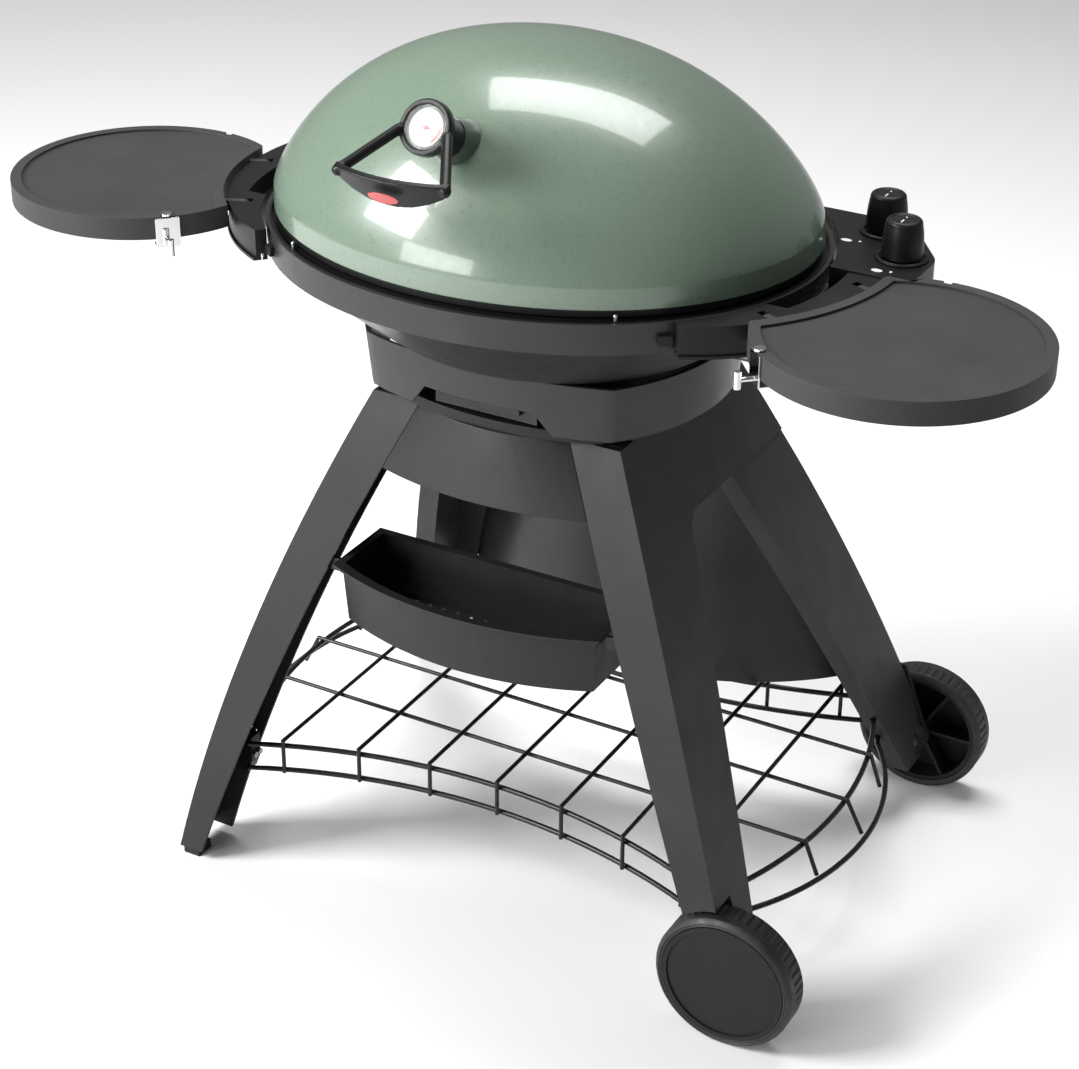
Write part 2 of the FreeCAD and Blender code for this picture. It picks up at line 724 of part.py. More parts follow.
def panel_outline(grow, z):
    """Lobe round the two knobs, straight at the front, closed over the bowl's side."""
    margin = 34.0 + grow
    (fx, fy), (rx, ry) = KNOBS["front"], KNOBS["rear"]
    along = V(rx - fx, ry - fy, 0).normalize()
    out = V(along.y, -along.x, 0)
    front, rear = V(fx, fy, z), V(rx, ry, z)
    start = V(fx + margin, PANEL_FRONT_Y - grow, z)
    left = V(220, PANEL_FRONT_Y - grow, z)
    edges = [Part.makeLine(left, start),
             Part.makeLine(start, front + V(margin, 0, 0)),
             Part.Arc(front + V(margin, 0, 0), front + (V(1, 0, 0) + out).normalize() * margin,
                      front + out * margin).toShape(),
             Part.makeLine(front + out * margin, rear + out * margin),
             Part.Arc(rear + out * margin, rear + (V(0, 1, 0) + out).normalize() * margin,
                      rear + V(0, margin, 0)).toShape(),
             Part.makeLine(rear + V(0, margin, 0), V(200, ry + margin, z)),
             Part.makeLine(V(200, ry + margin, z), left)]
    return Part.Wire(Part.__sortEdges__(edges))


def control_panel():
    low = DECK_Z - ARM_H - 6
    outer = Part.Face(panel_outline(0, low)).extrude(V(0, 0, PANEL_Z - low))
    outer = outer.cut(oval_post(RIM_A + 4, RIM_B + 4, low - 1, PANEL_Z + 1))
    inner = Part.Face(panel_outline(-PANEL_WALL, low - 1)).extrude(V(0, 0, PANEL_Z - low - 2))
    inner = inner.cut(oval_post(RIM_A + 4 + PANEL_WALL, RIM_B + 4 + PANEL_WALL, low - 2, PANEL_Z))
    holes = [rod((x, y, low), (x, y, PANEL_Z + 1), SLEEVE_R + 0.6) for x, y in KNOBS.values()]
    inlet_x = KNOBS["rear"][0]
    holes.append(rod((inlet_x, 120, INLET_Z), (inlet_x, 180, INLET_Z), INLET_R + 0.6))
    return outer.cut(inner).cut(Part.makeCompound(holes))


SLEEVE_R, STEM_R = 7.0, 4.0
BEZEL_H = 2.5
KNOB_Z = PANEL_Z + KNOB_TRAVEL + 0.5


def valve_bodies():
    bodies = []
    for x, y in KNOBS.values():
        low, high = VALVE_Z, 805.0
        body = fuse([rod((x, y, low), (x, y, high), 11), box(x - 9, x + 9, y - 9, y + 9, low, low + 8)])
        bodies.append(body.cut(rod((x, y, low + 4), (x, y, high + 1), STEM_R + 0.4)))
    return bodies


def sleeve(end):
    """Spring-loaded sleeve that is pressed down together with the knob."""
    x, y = KNOBS[end]
    low, high = 809.5, KNOB_Z - TOUCH
    return rod((x, y, low), (x, y, high), SLEEVE_R).cut(rod((x, y, low - 1), (x, y, high + 1), STEM_R + FIT))


def knob(end):
    x, y = KNOBS[end]
    top = KNOB_Z + KNOB_H
    edges = [line((0, 0, KNOB_Z), (KNOB_R, 0, KNOB_Z)),
             line((KNOB_R, 0, KNOB_Z), (KNOB_R - 0.5, 0, KNOB_Z + 12)),
             arc((KNOB_R - 0.5, 0, KNOB_Z + 12), (KNOB_R - 1.2, 0, KNOB_Z + 24),
                 (KNOB_TOP_R, 0, top - 5)),
             arc((KNOB_TOP_R, 0, top - 5), (KNOB_TOP_R - 1.4, 0, top - 1.4), (KNOB_TOP_R - 5, 0, top)),
             line((KNOB_TOP_R - 5, 0, top), (KNOB_TOP_R - 6.5, 0, top - 1.2)),
             line((KNOB_TOP_R - 6.5, 0, top - 1.2), (0, 0, top - 1.2)),
             line((0, 0, top - 1.2), (0, 0, KNOB_Z))]
    cap = turned(edges)
    stem = rod((0, 0, 792), (0, 0, KNOB_Z + 6), STEM_R)
    body = fuse([cap, stem])
    body.translate(V(x, y, 0))
    return body


def knob_bezels():
    rings = []
    for x, y in KNOBS.values():
        ring = rod((x, y, PANEL_Z + FIT), (x, y, PANEL_Z + BEZEL_H), KNOB_R + 6)
        rings.append(ring.cut(rod((x, y, PANEL_Z - 1), (x, y, PANEL_Z + 9), KNOB_R + 1.5)))
    return rings


def panel_icons():
    """Raised ovals beside the knobs: each stands for one of the two burners."""
    marks = []
    for x, y in ((362, 1), (303, 62)):
        plate = Part.makeCylinder(6, 0.6, V(0, 0, PANEL_Z + FIT))
        m = FreeCAD.Matrix()
        m.A22 = 0.6
        plate = plate.transformGeometry(m)
        plate.translate(V(x, y, 0))
        marks.append(plate)
        marks.append(rod((x + 14, y + 3, PANEL_Z + FIT), (x + 14, y + 3, PANEL_Z + 0.6), 1.6))
    return marks


def burner_pipes():
    (fx, fy), (rx, ry) = KNOBS["front"], KNOBS["rear"]
    pipe = 4.0
    front = bent_wire([(fx - 15.2, fy - 6, 787), (fx - 22, fy - 14, 768), (348, BURNER_Y["front"], BURNER_Z),
                       (290, BURNER_Y["front"], BURNER_Z)], pipe)
    rear = bent_wire([(rx - 15.2, ry - 6, 787), (rx - 17, ry - 22, 764), (333, BURNER_Y["rear"], BURNER_Z),
                      (296, BURNER_Y["rear"], BURNER_Z)], pipe)
    return [front, rear]


VALVE_Z = 784.0
INLET_R = 6.0
INLET_END_Y = 162.0
INLET_LENGTH = 16.0             # the part of the pipe that the hose is pushed over
INLET_Z = VALVE_Z - INLET_R - FIT


def gas_manifold():
    (fx, fy), (rx, ry) = KNOBS["front"], KNOBS["rear"]
    z = INLET_Z
    stop = INLET_END_Y - INLET_LENGTH
    pipe = bent_wire([(fx, fy - 12, z), (fx, fy, z), (rx, ry, z), (rx, INLET_END_Y, z)], INLET_R)
    return fuse([pipe, rod((rx, stop - 4, z), (rx, stop, z), INLET_R + 3)])


# ---- side arms and folding shelves --------------------------------------------------------
def arm_outline(side, grow, z):
    """Plan of an arm, drawn for the right side; inner line is hidden inside the bowl."""
    g = grow
    edges = [line((200, -190, z), (235, -205 - g, z)),
             line((235, -205 - g, z), (248 + g, -221 - g, z)),
             arc((248 + g, -221 - g, z), (331 + g, -153 - g * 0.4, z), (374 + g, -16, z))]
    if side == "right":
        edges += [line((374 + g, -16, z), (374 + g, PANEL_FRONT_Y - TOUCH, z)),
                  line((374 + g, PANEL_FRONT_Y - TOUCH, z), (200, PANEL_FRONT_Y - TOUCH, z)),
                  line((200, PANEL_FRONT_Y - TOUCH, z), (200, -190, z))]
    else:
        edges += [arc((374 + g, -16, z), (352 + g, 76, z), (284 + g, 148 + g, z)),
                  line((284 + g, 148 + g, z), (262, 132, z)),
                  line((262, 132, z), (200, 110, z)),
                  line((200, 110, z), (200, -190, z))]
    return Part.Wire(Part.__sortEdges__(edges))


def chord():
    """Unit vectors along the shelf's hinge line and away from the bowl, right side."""
    along = V(SLOT_REAR[0] - SLOT_FRONT[0], SLOT_REAR[1] - SLOT_FRONT[1], 0).normalize()
    return along, V(along.y, -along.x, 0)


def chord_block(spot, half, d0, d1, z0, z1):
    """Block set square to the hinge line at one of its two knuckles."""
    along, out = chord()
    centre = V(*spot, 0)
    ring = [centre + along * a + out * d for a, d in ((-half, d0), (half, d0), (half, d1), (-half, d1))]
    return prism([(p.x, p.y) for p in ring], z0, z1)


def chord_rod(spot, half, radius):
    along, _ = chord()
    centre = V(*spot, SLOT_Z)
    return Part.makeCylinder(radius, 2 * half, centre - along * half, along)


TONGUE_HALF, KNUCKLE_R, HINGE_PIN_R = 4.0, 6.0, 2.5


def arm(side):
    low = DECK_Z - ARM_H
    body = Part.Face(arm_outline(side, 0, low)).extrude(V(0, 0, ARM_H))
    flange = Part.Face(arm_outline(side, 2, low)).extrude(V(0, 0, 3))
    body = fuse([body, flange]).cut(oval_post(RIM_A + 4, RIM_B + 4, low - 1, DECK_Z + 1))
    pit = oval_post(338, 292, DECK_Z - 20, DECK_Z + 1).common(box(200, 400, -128, 10, 0, DECK_Z + 1))
    hollow = Part.Face(arm_outline(side, -4, low - 1)).extrude(V(0, 0, 8))
    body = body.cut(pit).cut(hollow.cut(oval_post(RIM_A + 8, RIM_B + 8, low - 2, DECK_Z)))
    for spot in (SLOT_FRONT, SLOT_REAR):
        body = body.cut(chord_block(spot, TONGUE_HALF + 0.6, -10, 40, SLOT_Z - 10, DECK_Z + 1))
        body = body.cut(chord_rod(spot, 10, HINGE_PIN_R))
    return on_side(body, side)


def shelf_pins():
    pins = []
    for side in SIDES:
        for spot in (SLOT_FRONT, SLOT_REAR):
            pins.append(on_side(chord_rod(spot, 10, HINGE_PIN_R), side))
    return pins


def arm_tabs():
    """Small steel tabs between the arms' front ends and the bowl's band."""
    tabs = []
    for side in SIDES:
        tab = prism([(228, -224), (240, -216), (233, -206.5), (221, -214)], 796, 806)
        tab = tab.cut(oval_post(RIM_A + FIT, RIM_B + FIT, 780, 830))
        tab = tab.cut(Part.Face(arm_outline("right", 2.1, 780)).extrude(V(0, 0, 60)))
        tabs.append(on_side(max(tab.Solids, key=lambda s: s.Volume), side))
    return tabs


def shelf(side):
    top, low = SHELF_Z, SHELF_Z - SHELF_H
    wall, rim, recess = 3.0, 12.0, 3.0
    centre = V(SHELF_X, SHELF_Y, 0)

    def disc(radius, z0, z1):
        return Part.makeCylinder(radius, z1 - z0, centre + UP * z0)

    def clear_of_arm(gap):
        arm_block = Part.Face(arm_outline("left", gap, low - 5)).extrude(UP * (SHELF_H + 20))
        return arm_block.fuse(chord_block(SLOT_FRONT, 400, -200, gap + 3.5, low - 5, top + 5))

    plate = disc(SHELF_R, low, top).cut(clear_of_arm(4))
    plate = plate.cut(disc(SHELF_R - rim, top - recess, top + 1).cut(clear_of_arm(4 + rim)))
    plate = plate.cut(disc(SHELF_R - wall, low - 1, top - recess - wall).cut(clear_of_arm(4 + wall)))
    notch = box(SHELF_X - 14, SHELF_X - 5, SHELF_Y + SHELF_R - 5, SHELF_Y + SHELF_R + 5, low - 1, top + 1)
    body = plate.cut(notch)
    for spot in (SLOT_FRONT, SLOT_REAR):
        tongue = chord_block(spot, TONGUE_HALF, 0, 40, SLOT_Z - 6, SLOT_Z + 6)
        tongue = tongue.common(disc(SHELF_R + 30, low, top))
        knuckle = chord_rod(spot, TONGUE_HALF, KNUCKLE_R)
        body = fuse([body, tongue, knuckle]).cut(chord_rod(spot, 10, HINGE_PIN_R + FIT))
    if side == "right":
        body = body.cut(Part.Face(panel_outline(3.5, low - 5)).extrude(UP * (SHELF_H + 20)))
    return on_side(body, side)


CLIP_ANGLE = 224.0


def shelf_clip(side):
    """Bent chrome bracket under the front rim, with a round-headed pin and a hook pin."""
    out = V(math.cos(math.radians(CLIP_ANGLE)), math.sin(math.radians(CLIP_ANGLE)), 0)
    across = V(-out.y, out.x, 0)
    foot = V(SHELF_X, SHELF_Y, 0) + out * (SHELF_R + FIT)

    def block(w, d0, d1, z0, z1):
        ring = [foot + across * a + out * d for a, d in ((-w, d0), (w, d0), (w, d1), (-w, d1))]
        return prism([(p.x, p.y) for p in ring], z0, z1)

    low = SHELF_Z - SHELF_H
    face = block(13, 0, 1.6, low - 9, SHELF_Z - 1.5)
    foot_lip = block(13, -14, 1.6, low - 9, low - 7.4)
    post = foot - out * 3
    head = Part.makeCylinder(6, 2.2, V(post.x, post.y, SHELF_Z + 0.6))
    neck = Part.makeCylinder(2.4, 0.6 - FIT, V(post.x, post.y, SHELF_Z + FIT))
    stub_z = low - 3.5
    stub = Part.makeCylinder(2.6, 16, V(foot.x, foot.y, stub_z) + out * 1.6, out)
    cross = Part.makeCylinder(3.6, 18, V(foot.x, foot.y, stub_z - 9) + out * 17.6, UP)
    return [on_side(fuse([face, foot_lip, stub, cross]), side), on_side(fuse([head, neck]), side)]


# ---- hood, handle, thermometer ------------------------------------------------------------
def dome_height(share):
    """Rise of the dome above its lip at a share of the rim radius."""
    return HOOD_RISE * max(0.0, 1 - share ** 2.34) ** (1 / 1.29)


def dome_curve(shrink):
    shares = [math.sin(math.radians(a)) for a in (0, 9, 18, 27, 36, 45, 54, 62, 70, 77, 83, 87, 90)]
    lip_top = HOOD_Z + HOOD_LIP
    radius = HOOD_A - 1.5
    return [(max(0.0, radius * s - shrink * s), 0, lip_top + dome_height(s) - shrink * (1 - s ** 4))
            for s in shares]


def hood_solid(edges):
    return oval(turned(edges), HOOD_B / HOOD_A, HOOD_LEAN, HOOD_Z)


def without_probe_hole(shell):
    hole = Part.makeCylinder(PROBE_R + TOUCH, 30, BARREL_BASE - DIAL_AXIS * 12, DIAL_AXIS)
    return shell.cut(hole)


def hood_shell():
    t = HOOD_SHEET
    lip_top = HOOD_Z + HOOD_LIP
    outer, inner = dome_curve(0), dome_curve(t)
    edges = [line((HOOD_A, 0, HOOD_Z), outer[-1]),
             spline(outer),
             line(outer[0], inner[0]),
             spline(inner),
             line(inner[-1], (HOOD_A - t, 0, HOOD_Z)),
             line((HOOD_A - t, 0, HOOD_Z), (HOOD_A, 0, HOOD_Z))]
    return without_probe_hole(hood_solid(edges))


def hood_core():
    """Everything inside the hood's outer surface, for trimming what is mounted on it."""
    outer = dome_curve(0)
    edges = [line((HOOD_A, 0, HOOD_Z), outer[-1]), spline(outer),
             line(outer[0], (0, 0, HOOD_Z)), line((0, 0, HOOD_Z), (HOOD_A, 0, HOOD_Z))]
    return hood_solid(edges)


def hood_seal():
    """Black lip under the hood's edge."""
    outer, inner = HOOD_A - HOOD_SHEET - FIT, HOOD_A - HOOD_SHEET - 6
    low, high = RIM_Z + 2.2, HOOD_Z + 6
    edges = [line((inner, 0, low), (outer, 0, low)), line((outer, 0, low), (outer - 0.4, 0, high)),
             line((outer - 0.4, 0, high), (inner, 0, high)), line((inner, 0, high), (inner, 0, low))]
    return hood_solid(edges)


BARREL_BASE = V(0, -224, 964)
DIAL_CENTRE = V(0, -276, 994)
DIAL_AXIS = (DIAL_CENTRE - BARREL_BASE).normalize()
RING_R, DIAL_R, BARREL_R = 28.0, 21.0, 20.0


def along_dial(radius, start, length):
    """Disc on the thermometer's axis; start is measured from the ring's middle."""
    return Part.makeCylinder(radius, length, DIAL_CENTRE + DIAL_AXIS * start, DIAL_AXIS)


PROBE_R = 3.0


def probe(radius):
    """Thermometer probe, from inside the barrel through the hood."""
    return Part.makeCylinder(radius, 75, BARREL_BASE - DIAL_AXIS * 50, DIAL_AXIS)


def handle_base():
    """Flared foot that fits the dome's curve."""
    base_r = 27.5
    foot = Part.makeCone(base_r, BARREL_R + 1, 34, BARREL_BASE - DIAL_AXIS * 16, DIAL_AXIS)
    return foot.cut(hood_core()).cut(probe(PROBE_R + TOUCH))


def thermometer_housing():
    length = (DIAL_CENTRE - BARREL_BASE).Length
    start = 18.0 + FIT
    barrel = Part.makeCylinder(BARREL_R, length - start - 6, BARREL_BASE + DIAL_AXIS * start, DIAL_AXIS)
    cup = along_dial(BARREL_R - 2, -2, 10)
    return fuse([barrel.cut(cup), probe(PROBE_R)])


def dial_plane():
    """Point and the two in-plane directions of the carrying loop."""
    slope = math.radians(26)
    forward = V(0, -math.cos(slope), -math.sin(slope))
    normal = V(0, -math.sin(slope), math.cos(slope))
    return forward, normal


def loop_point(x, forward_mm, normal_mm):
    forward, normal = dial_plane()
    return DIAL_CENTRE + V(x, 0, 0) + forward * forward_mm + normal * normal_mm


def handle_loop():
    """Ring round the dial, two arms and a bowed grip, one moulded piece."""
    ring = along_dial(RING_R, -6, 11).cut(along_dial(DIAL_R + 1, -7, 20))
    arms = []
    for s in (-1, 1):
        a, b = loop_point(s * 26, 6, 0), loop_point(s * 60, 74, 0)
        bar = Part.makeCylinder(5.5, (b - a).Length, a, b - a)
        arms += [bar, Part.makeSphere(5.5, b)]
    arms = [a.cut(along_dial(DIAL_R + 1, -30, 80)) for a in arms]
    bow, reach, depth = 86.0, 74.0, 7.0
    sheet_low, sheet_high = -22.0, 10.0
    edges = []
    for shift in (0, -depth):
        p = [loop_point(-63, reach + shift, sheet_low), loop_point(0, bow + shift, sheet_low),
             loop_point(63, reach + shift, sheet_low)]
        edges.append(Part.Arc(*p).toShape())
    for s in (-1, 1):
        edges.append(Part.makeLine(loop_point(s * 63, reach, sheet_low),
                                   loop_point(s * 63, reach - depth, sheet_low)))
    _, normal = dial_plane()
    face = Part.Face(Part.Wire(Part.__sortEdges__(edges)))
    sheet = face.extrude(normal * (sheet_high - sheet_low))
    lens = [Part.Arc(loop_point(-64, 40, 5), loop_point(0, 40, sheet_high), loop_point(64, 40, 5)).toShape(),
            Part.Arc(loop_point(-64, 40, -5), loop_point(0, 40, sheet_low), loop_point(64, 40, -5)).toShape(),
            Part.makeLine(loop_point(-64, 40, 5), loop_point(-64, 40, -5)),
            Part.makeLine(loop_point(64, 40, 5), loop_point(64, 40, -5))]
    forward, _ = dial_plane()
    window = Part.Face(Part.Wire(Part.__sortEdges__(lens))).extrude(forward * 80)
    return fuse([ring, sheet.common(window)] + arms)


def badge():
    """Plain oval plate on the grip."""
    forward, _ = dial_plane()
    plate = Part.makeCylinder(6.5, 40, V(0, 0, 0), V(0, 0, 1))
    m = FreeCAD.Matrix()
    m.A11 = 2.6
    plate = plate.transformGeometry(m)
    plate.rotate(V(0, 0, 0), V(1, 0, 0), 90 + 26)
    plate.translate(loop_point(0, 60, -5))
    edges = []
    for shift in (0.05, 1.2):
        p = [loop_point(-63, 76 + shift, -22), loop_point(0, 92 + shift, -22),
             loop_point(63, 76 + shift, -22)]
        edges.append(Part.Arc(*p).toShape())
    for s in (-1, 1):
        edges.append(Part.makeLine(loop_point(s * 63, 76.05, -22), loop_point(s * 63, 77.2, -22)))
    _, normal = dial_plane()
    skin = Part.Face(Part.Wire(Part.__sortEdges__(edges))).extrude(normal * 32)
    return skin.common(plate)


def dial():
    return along_dial(DIAL_R - 2.6, -2, 3)


def needle():
    """Pointer on its own small hub; cold, it points to the left."""
    hub = along_dial(2.4, 1.6, 1.6)
    tip = V(-1, 0, 0)
    side = DIAL_AXIS.cross(tip)
    base = DIAL_CENTRE + DIAL_AXIS * 1.9
    ring = [base + side * 1.1 - tip * 5, base - side * 1.1 - tip * 5, base + tip * 13.5]
    pointer = Part.Face(Part.makePolygon(ring + ring[:1])).extrude(DIAL_AXIS * 0.8)
    return fuse([hub, pointer])


def lens():
    return along_dial(DIAL_R + 0.9, 3.6, 1.2)


HINGE_X, HINGE_Y, HINGE_Z = 90.0, 243.0, 806.0
HINGE_PIN = 4.0


def hinge_brackets():
    """Lugs on the back of the bowl, each with its hinge pin."""
    brackets = []
    for side in SIDES:
        block = box(HINGE_X - 5, HINGE_X + 5, 180, HINGE_Y + 7, HINGE_Z - 16, HINGE_Z + 6)
        ear = rod((HINGE_X - 5, HINGE_Y, HINGE_Z), (HINGE_X + 5, HINGE_Y, HINGE_Z), 8)
        body = fuse([block.cut(box(0, 200, HINGE_Y, 300, HINGE_Z - 20, HINGE_Z + 20)), ear])
        body = body.cut(oval_post(RIM_A + FIT, RIM_B + FIT, 700, 830))
        pin = rod((HINGE_X - 19, HINGE_Y, HINGE_Z), (HINGE_X + 8, HINGE_Y, HINGE_Z), HINGE_PIN)
        brackets.append(on_side(fuse([body, pin]), side))
    return brackets


def hood_arms():
    """Steel arms from the back of the hood down to the hinge pins."""
    arms = []
    for side in SIDES:
        x0, x1 = HINGE_X - 17, HINGE_X - 6
        plate = box(x0, x1, 190, HINGE_Y + 4, HINGE_Z, HOOD_Z + HOOD_LIP - 2)
        ear = rod((x0, HINGE_Y, HINGE_Z), (x1, HINGE_Y, HINGE_Z), 9)
        body = fuse([plate, ear]).cut(hood_core())
        body = body.cut(oval_post(RIM_A + 6, RIM_B + 6, 700, HOOD_Z))
        body = body.cut(box(0, 200, 0, 214, 0, 900))
        body = body.cut(rod((0, HINGE_Y, HINGE_Z), (200, HINGE_Y, HINGE_Z), HINGE_PIN + FIT))
        arms.append(on_side(max(body.Solids, key=lambda s: s.Volume), side))
    return arms


# ---- assembly -----------------------------------------------------------------------------
def build():
    for side in SIDES:
        add(f"side_frame_{side}", side_frame(side))
        add(f"rear_leg_{side}", rear_leg(side))
        add(f"side_arm_{side}", arm(side))
        add(f"shelf_{side}", shelf(side))
        group(f"shelf_clip_{side}", shelf_clip(side))
        add(f"cooking_grate_{side}", grate(side))
    for end in ("front", "rear"):
        add(f"wheel_hub_{end}", wheel_hub(end))
        add(f"tyre_{end}", tyre(end))
        add(f"burner_{end}", burner(end))
        add(f"knob_{end}", knob(end))
        add(f"knob_sleeve_{end}", sleeve(end))
    add("front_panel", front_panel())
    add("rear_crossbar", rear_crossbar())
    add("bottle_shroud", bottle_shroud())
    group("leg_pads", feet())
    group("axle_bolts", [axle_bolt("front"), axle_bolt("rear")])
    add("rack_upper_rail", rack_rail(RACK_Z, UPPER_BULGE, UPPER_GATE))
    add("rack_lower_rail", rack_rail(RACK_Z - RACK_STEP, LOWER_BULGE, LOWER_GATE))
    group("rack_wires", rack_wires())
    group("rack_saddles", rack_saddles())
    group("rack_bolts", rack_bolts())
    add("basket", basket())
    group("basket_hooks", basket_hooks())
    add("base_plate", base_plate())
    add("pedestal", pedestal())
    add("drip_tray", drip_tray())
    group("tray_runners", tray_runners())
    add("bowl", bowl())
    add("rim_ring", rim_ring())
    group("rim_pins", rim_pins())
    add("control_panel", control_panel())
    group("valve_bodies", valve_bodies())
    group("knob_bezels", knob_bezels())
    group("panel_icons", panel_icons())
    group("burner_pipes", burner_pipes())
    add("gas_manifold", gas_manifold())
    group("shelf_pins", shelf_pins())
    group("arm_tabs", arm_tabs())
    add("hood_shell", hood_shell())
    add("hood_seal", hood_seal())
    add("handle_base", handle_base())
    add("handle_loop", handle_loop())
    add("thermometer_housing", thermometer_housing())
    add("thermometer_dial", dial())
    add("thermometer_needle", needle())
    add("thermometer_lens", lens())
    add("badge", badge())
    group("hinge_brackets", hinge_brackets())
    group("hood_arms", hood_arms())


build()
os.makedirs("parts", exist_ok=True)
for name, shape in PARTS.items():
    shape.exportStep(f"parts/{name}.step")
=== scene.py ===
"""Looks of the two-burner gas barbecue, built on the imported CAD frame.  Metres."""

import json
import math

import bmesh
import bpy
from mathutils import Matrix, Vector


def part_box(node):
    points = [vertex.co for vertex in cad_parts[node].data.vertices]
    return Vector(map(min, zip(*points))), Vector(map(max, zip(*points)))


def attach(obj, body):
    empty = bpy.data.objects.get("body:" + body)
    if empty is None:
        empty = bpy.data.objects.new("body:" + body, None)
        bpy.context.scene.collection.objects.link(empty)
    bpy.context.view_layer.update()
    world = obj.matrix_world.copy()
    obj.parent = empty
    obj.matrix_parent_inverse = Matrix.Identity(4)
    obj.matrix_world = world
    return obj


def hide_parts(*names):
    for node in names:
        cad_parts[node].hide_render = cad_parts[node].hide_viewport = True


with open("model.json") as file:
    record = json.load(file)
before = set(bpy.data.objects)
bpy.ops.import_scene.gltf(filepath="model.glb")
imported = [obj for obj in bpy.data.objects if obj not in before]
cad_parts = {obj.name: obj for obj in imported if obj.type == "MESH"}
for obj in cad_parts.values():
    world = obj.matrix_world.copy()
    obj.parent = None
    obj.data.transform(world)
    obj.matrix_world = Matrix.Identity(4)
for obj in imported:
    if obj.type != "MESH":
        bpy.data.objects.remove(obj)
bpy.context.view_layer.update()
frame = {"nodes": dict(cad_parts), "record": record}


# ---- shader helpers -------------------------------------------------------------------------
class Nodes:
    """A new material with its Principled shader and shorthands for wiring nodes."""

    def __init__(self, name, colour, roughness, metallic=0.0):
        self.material = bpy.data.materials.new(name)
        self.material.use_nodes = True
        self.tree = self.material.node_tree
        self.shader = self.tree.nodes["Principled BSDF"]
        self.set(metallic=metallic, roughness=roughness)
        self.shader.inputs["Base Color"].default_value = (*colour, 1)
        self.material.diffuse_color = (*colour, 1)

    def set(self, **values):
        for key, value in values.items():
            self.shader.inputs[key.replace("_", " ").title()].default_value = value

    def link(self, source, target):
        self.tree.links.new(source, target)

    def add(self, kind, **values):
        node = self.tree.nodes.new(kind)
        for key, value in values.items():
            setattr(node, key, value)
        return node

    def place(self, stretch=(1, 1, 1)):
        coordinates = self.add("ShaderNodeTexCoord")
        mapping = self.add("ShaderNodeMapping")
        mapping.inputs["Scale"].default_value = stretch
        self.link(coordinates.outputs["Object"], mapping.inputs["Vector"])
        return mapping.outputs["Vector"]

    def noise(self, size, detail=3.0, stretch=(1, 1, 1)):
        """Noise whose features are about `size` metres across."""
        node = self.add("ShaderNodeTexNoise")
        node.inputs["Scale"].default_value = 0.5 / size
        node.inputs["Detail"].default_value = detail
        self.link(self.place(stretch), node.inputs["Vector"])
        return node.outputs["Fac"]

    def span(self, value, low, high, start=0.3, stop=0.7):
        node = self.add("ShaderNodeMapRange")
        node.inputs["From Min"].default_value = start
        node.inputs["From Max"].default_value = stop
        node.inputs["To Min"].default_value = low
        node.inputs["To Max"].default_value = high
        self.link(value, node.inputs["Value"])
        return node.outputs["Result"]

    def blend(self, share, first, second):
        """Mixes two colours, either of which may be an output already."""
        node = self.add("ShaderNodeMix", data_type="RGBA")
        self.link(share, node.inputs["Factor"])
        for socket, colour in ((node.inputs["A"], first), (node.inputs["B"], second)):
            if isinstance(colour, tuple):
                socket.default_value = (*colour, 1)
            else:
                self.link(colour, socket)
        return node.outputs["Result"]

    def bump(self, height, depth, previous=None):
        node = self.add("ShaderNodeBump")
        node.inputs["Strength"].default_value = 1.0
        node.inputs["Distance"].default_value = depth
        self.link(height, node.inputs["Height"])
        if previous is not None:
            self.link(previous, node.inputs["Normal"])
        return node.outputs["Normal"]

    def painted_edge_highlight(self, colour, highlight_tint, reach):
        """Lightens outward edges a little: a painted highlight along convex edges."""
        geometry = self.add("ShaderNodeNewGeometry")
        ridge = self.span(geometry.outputs["Pointiness"], 0.0, reach, 0.52, 0.62)
        return self.blend(ridge, colour, highlight_tint)

    def finish(self, colour=None, roughness=None, normal=None):
        if colour is not None:
            self.link(colour, self.shader.inputs["Base Color"])
        if roughness is not None:
            self.link(roughness, self.shader.inputs["Roughness"])
        if normal is not None:
            self.link(normal, self.shader.inputs["Normal"])
        return self.material


def tinted(colour, factor):
    return tuple(channel * factor for channel in colour)


def moulded(name, colour, roughness, grain=0.0009, depth=0.00006, mottle=0.12, shine=0.25):
    """Grained plastic: fine pits, cloudy colour, a painted highlight along the edges."""
    m = Nodes(name, colour, roughness)
    m.shader.inputs["Specular IOR Level"].default_value = shine
    clouds = m.noise(0.06, 4)
    base = m.blend(m.span(clouds, 0, 1), tinted(colour, 1 - mottle), tinted(colour, 1 + mottle))
    # painted highlight: convex edges lightened to 1.5 times the colour
    base = m.painted_edge_highlight(base, tinted(colour, 1.5), 0.5)
    pits = m.noise(grain, 2)
    dull = m.span(m.noise(0.02, 5), roughness - 0.05, roughness + 0.06)
    return m.finish(base, dull, m.bump(pits, depth))


def enamel(name, colour, roughness, coat=0.6, speckle=0.1, ripple=0.00012):
    """Vitreous enamel: glassy coat over fired speckle, with a faint ripple."""
    m = Nodes(name, colour, roughness)
    m.set(coat_weight=coat, coat_roughness=0.07)
    fine = m.noise(0.0006, 2)
    dots = m.span(fine, 0, 1, 0.38, 0.62)
    base = m.blend(dots, tinted(colour, 1 - speckle), tinted(colour, 1 + speckle))
    cloud = m.span(m.noise(0.12, 3), 0, 0.35)
    base = m.blend(cloud, base, tinted(colour, 0.94))
    dull = m.span(m.noise(0.004, 3), roughness - 0.04, roughness + 0.05)
    waves = m.bump(m.noise(0.03, 1), ripple)
    return m.finish(base, dull, m.bump(fine, 0.00001, waves))


